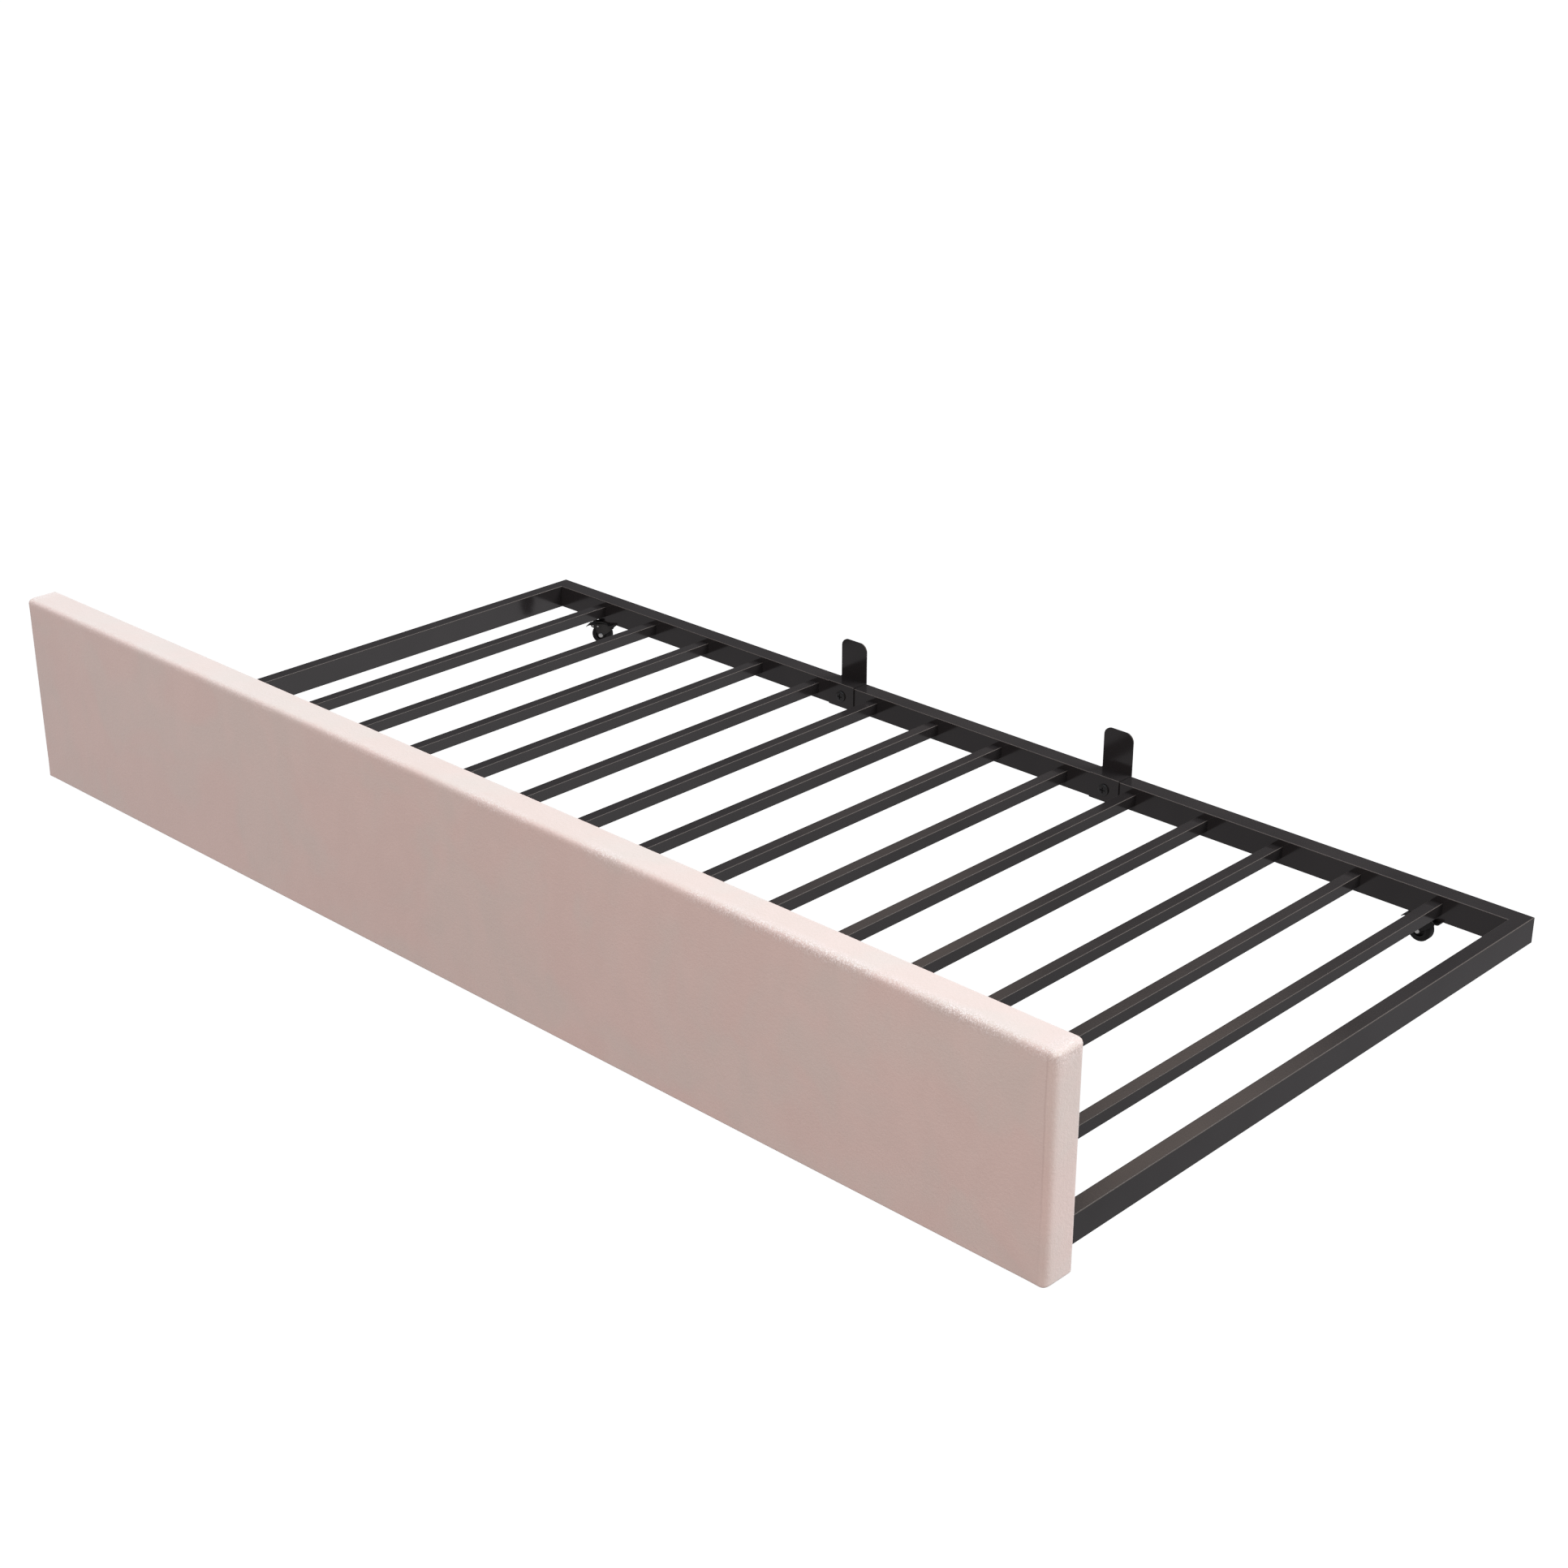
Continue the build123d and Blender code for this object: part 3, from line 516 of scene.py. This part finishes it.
def padded_panel():
    """The velvet cover over its foam: tight over the board's edges, and gently crowned in front."""
    low, high = (np.array(corner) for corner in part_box("panel_cover"))
    low -= np.array([PAD_STRETCH, 0.0, PAD_DROP])
    high += np.array([PAD_STRETCH, -2 * BACKING_GAP, 0.0])
    points, faces = box_grid([axis_lines(low[axis], high[axis]) for axis in range(3)])
    points = rounded(points, low, high)
    pad = new_mesh("panel_cushion", points, faces)
    behind_front = points[:, 1] > low[1] + LOW_RADII[1]
    move = swell(pad, behind_front) - points
    points = points + move * (FRONT_SWELL / np.abs(move).max())
    pad.data.vertices.foreach_set("co", points.ravel())
    pad.data.update()
    smoother = pad.modifiers.new("smooth", "SUBSURF")
    smoother.levels = smoother.render_levels = 1
    pad.data.materials.append(velvet())
    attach(pad, "frame")
    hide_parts("panel_cover", "panel_foam")


def backing_box():
    """The edges of the cloth on the panel's back: left, right, bottom and top, and the back's Y."""
    low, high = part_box("panel_dust_cloth")
    edge = BACKING_OVERLAP
    return low[0] - edge, high[0] + edge, low[2] - edge, high[2] + edge, high[1]


def slackness(x, z):
    """How slack the backing cloth is at a point of its middle, from 0.2 to 1: two long crossing waves."""
    return 0.6 + 0.25 * math.sin(9.1 * x + 7 * z) + 0.15 * math.sin(23.0 * x - 31.0 * z)


def panel_backing():
    """Black cloth stapled over the panel's back, slack in its middle, with scalloped edges."""
    left, right, bottom, top, back = backing_box()
    rail_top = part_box("rail_front")[1][2]
    columns, rows = round((right - left) / BACKING_STEP), round((top - bottom) / BACKING_STEP)
    points = []
    for z in np.linspace(bottom, top, rows + 1):
        for x in np.linspace(left, right, columns + 1):
            waist_x = SCALLOP * abs(math.sin(math.pi * (z - top) / STAPLE_PITCH))
            waist_z = SCALLOP * abs(math.sin(math.pi * x / STAPLE_PITCH))
            drawn_x = x * (1 - waist_x / right)
            drawn_z = z - waist_z * (2 * z - bottom - top) / (top - bottom)
            inward = min(x - left, right - x, top - z, z - rail_top) / BACKING_EASE
            slack = BACKING_SLACK * float(smooth(inward)) * slackness(x, z)
            points.append((drawn_x, back - BACKING_GAP + slack, drawn_z))
    faces = []
    for row in range(rows):
        for column in range(columns):
            first = row * (columns + 1) + column
            faces.append((first + 1, first, first + columns + 1, first + columns + 2))
    sheet = new_mesh("panel_backing", points, faces)
    sheet.data.materials.append(dust_cloth())
    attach(sheet, "frame")
    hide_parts("panel_dust_cloth")


def wire_rings(path, radius):
    """Rings of points round a bent wire, each square to the wire's local direction."""
    rings = []
    for index, point in enumerate(path):
        before, after = path[max(index - 1, 0)], path[min(index + 1, len(path) - 1)]
        along = (after - before).normalized()
        across = along.orthogonal().normalized()
        up = along.cross(across)
        turns = [2 * math.pi * k / STAPLE_WIRE_SIDES for k in range(STAPLE_WIRE_SIDES)]
        rings.append([point + radius * (math.cos(t) * across + math.sin(t) * up) for t in turns])
    return rings


def staple_path(x, z, y, tilt, upright):
    """A staple's wire: one leg, the crown just proud of the cloth, and the other leg."""
    half = STAPLE_WIDTH / 2
    one_side = [(-half, -STAPLE_LEG), (-half, -STAPLE_BEND), (-half + STAPLE_BEND, 0)]
    flat = one_side + [(-across, out) for across, out in reversed(one_side)]
    turn = tilt + (math.pi / 2 if upright else 0.0)
    return [Vector((x + a * math.cos(turn), y + b, z + a * math.sin(turn))) for a, b in flat]


def panel_staples():
    """Staples along the backing cloth's top and ends."""
    left, right, bottom, top, back = backing_box()
    rail_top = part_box("rail_front")[1][2]
    chance = np.random.default_rng(7)
    places = []
    reach = int((right - STAPLE_INSET) / STAPLE_PITCH)
    for count in range(-reach, reach + 1):
        places.append((count * STAPLE_PITCH, top - STAPLE_INSET, False))
    z = top - STAPLE_PITCH
    while z > rail_top + STAPLE_WIDTH:
        places += [(left + STAPLE_INSET, z, True), (right - STAPLE_INSET, z, True)]
        z -= STAPLE_PITCH
    sides = STAPLE_WIRE_SIDES
    points, faces = [], []
    for x, z, upright in places:
        tilt = math.radians(chance.uniform(-STAPLE_TILT, STAPLE_TILT))
        path = staple_path(x, z, back - BACKING_GAP + STAPLE_WIRE, tilt, upright)
        start = len(points)
        for ring in wire_rings(path, STAPLE_WIRE):
            points += ring
        for row in range(len(path) - 1):
            for k in range(sides):
                a, b = start + row * sides + k, start + row * sides + (k + 1) % sides
                faces.append((a, b, b + sides, a + sides))
    staples = new_mesh("panel_staples", points, faces)
    staples.data.materials.append(bright_zinc())
    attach(staples, "frame")


# The rest of the CAD nodes keep their shapes and get their materials.


def dress(material, *names):
    """Puts a material on carried-over CAD nodes."""
    for name in names:
        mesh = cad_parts[name].data
        mesh.materials.clear()
        mesh.materials.append(material)


def nodes_ending(*endings):
    """The CAD nodes whose names end in one of the given words."""
    return [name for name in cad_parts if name.endswith(endings)]


def nodes_starting(*starts):
    """The CAD nodes whose names start with one of the given words."""
    return [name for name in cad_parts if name.startswith(starts)]


def dress_frame():
    """Materials of every CAD node that stays."""
    stops = ("mattress_stop_left", "mattress_stop_right")
    dress(powder_coat(), *nodes_starting("rail_", "slat_", "caster_carriers", *stops))
    dress(caster_paint(), *nodes_ending("_plate", "_fork"))
    dress(black_plastic(), *nodes_ending("_wheel_hub", "_brake_pedal", "_swivel_bushes"))
    dress(tyre_rubber(), *nodes_ending("_tyre"))
    fasteners = ("_rivets", "_kingpins", "caster_screws", "_bolts", "_tee_nuts")
    dress(bright_zinc(), *nodes_ending("_axle", *fasteners))
    dress(blackened_screw(), "mattress_stop_screws")
    dress(board_wood(), "panel_board")


# Studio


def floor():
    """A wide pale floor that the object stands on."""
    corners = [(x * FLOOR_HALF, y * FLOOR_HALF, 0) for x, y in ((-1, -1), (1, -1), (1, 1), (-1, 1))]
    made = new_mesh("studio_floor", corners, [(0, 1, 2, 3)])
    made.data.materials.append(studio_floor())
    hide_from_light(made)


def backdrop():
    """A white sphere far round everything, for low viewpoints."""
    lines = list(np.linspace(-1.0, 1.0, BACKDROP_LINES))
    points, faces = box_grid([lines, lines, lines])
    points = BACKDROP_RADIUS * points / np.linalg.norm(points, axis=1)[:, None]
    made = new_mesh("studio_backdrop", points, faces)
    made.data.materials.append(white_backdrop())
    hide_from_light(made)
    made.visible_shadow = False


def hide_from_light(piece):
    """Keeps a staged piece out of reflections and bounced light: it only shows behind the object."""
    piece.visible_diffuse = False
    piece.visible_glossy = False
    piece.visible_transmission = False


def direction(azimuth, elevation):
    """A unit vector from its compass angle, anticlockwise from +X, and its height, both in degrees."""
    a, e = math.radians(azimuth), math.radians(elevation)
    return Vector((math.cos(a) * math.cos(e), math.sin(a) * math.cos(e), math.sin(e)))


def glow(tree, view, towards, width, colour, strength):
    """A soft patch of light in the surroundings."""
    product = node(tree, "ShaderNodeVectorMath", {0: view, 1: towards}, operation="DOT_PRODUCT")
    edge = math.cos(math.radians(width))
    share = spread(tree, product.outputs["Value"], edge, 1.0, to_high=strength)
    return mix(tree, share, (0, 0, 0), colour)


def surroundings():
    """A dim studio, brighter overhead and below, with soft patches of light."""
    world = bpy.data.worlds.new("studio")
    world.use_nodes = True
    bpy.context.scene.world = world
    tree = world.node_tree
    view = node(tree, "ShaderNodeTexCoord").outputs["Generated"]
    height = node(tree, "ShaderNodeSeparateXYZ", {0: view}).outputs[2]
    total = mix(tree, spread(tree, height, *BELOW_TO_LEVEL), BELOW, LEVEL)
    total = mix(tree, spread(tree, height, *LEVEL_TO_OVERHEAD), total, OVERHEAD)
    for azimuth, elevation, width, strength, colour in PATCHES:
        patch = glow(tree, view, direction(azimuth, elevation), width, colour, strength)
        total = node(tree, "ShaderNodeVectorMath", {0: total, 1: patch}, operation="ADD").outputs[0]
    tree.links.new(total, tree.nodes["Background"].inputs["Color"])


def area_light(name, towards, size, power, colour):
    """A soft square light, aimed at the middle of the bed and kept out of reflections."""
    data = bpy.data.lights.new(name, "AREA")
    data.shape = "SQUARE"
    data.size = size
    data.energy = power
    data.color = colour
    made = bpy.data.objects.new(name, data)
    made.location = towards * LIGHT_DISTANCE
    made.rotation_mode = "QUATERNION"
    made.rotation_quaternion = towards.to_track_quat("Z", "Y")
    made.visible_glossy = False
    bpy.context.scene.collection.objects.link(made)


def lights():
    """A large key light high behind on the right, and a weaker fill in front."""
    area_light("key", direction(45, 47), size=7.5, power=2620.0, colour=(0.905, 0.99, 1.015))
    area_light("fill", direction(-65, 40), size=8.0, power=1335.0, colour=(1.0, 0.985, 0.975))


def camera():
    """The viewpoint: high in front of the bed's right end."""
    data = bpy.data.cameras.new("camera")
    data.lens = CAMERA_LENS
    data.sensor_width = CAMERA_SENSOR
    data.clip_end = CAMERA_REACH
    made = bpy.data.objects.new("camera", data)
    made.location = CAMERA_PLACE
    made.rotation_euler = (math.radians(CAMERA_TILT), 0.0, math.radians(CAMERA_TURN))
    bpy.context.scene.collection.objects.link(made)
    bpy.context.scene.camera = made


def exposure():
    """A plain film response: true up to mid tones, with a soft shoulder to white."""
    settings = bpy.context.scene.view_settings
    settings.view_transform = "Standard"
    settings.use_curve_mapping = True
    curve = settings.curve_mapping
    curve.white_level = (FILM_WHITE, FILM_WHITE, FILM_WHITE)
    response = curve.curves[COMBINED_CURVE]
    for light, shown in FILM_SHOULDER:
        response.points.new(light / FILM_WHITE, shown)
    response.points[-1].location = (1.0, 1.0)
    curve.update()


dress_frame()
padded_panel()
panel_backing()
panel_staples()
floor()
backdrop()
surroundings()
lights()
camera()
exposure()
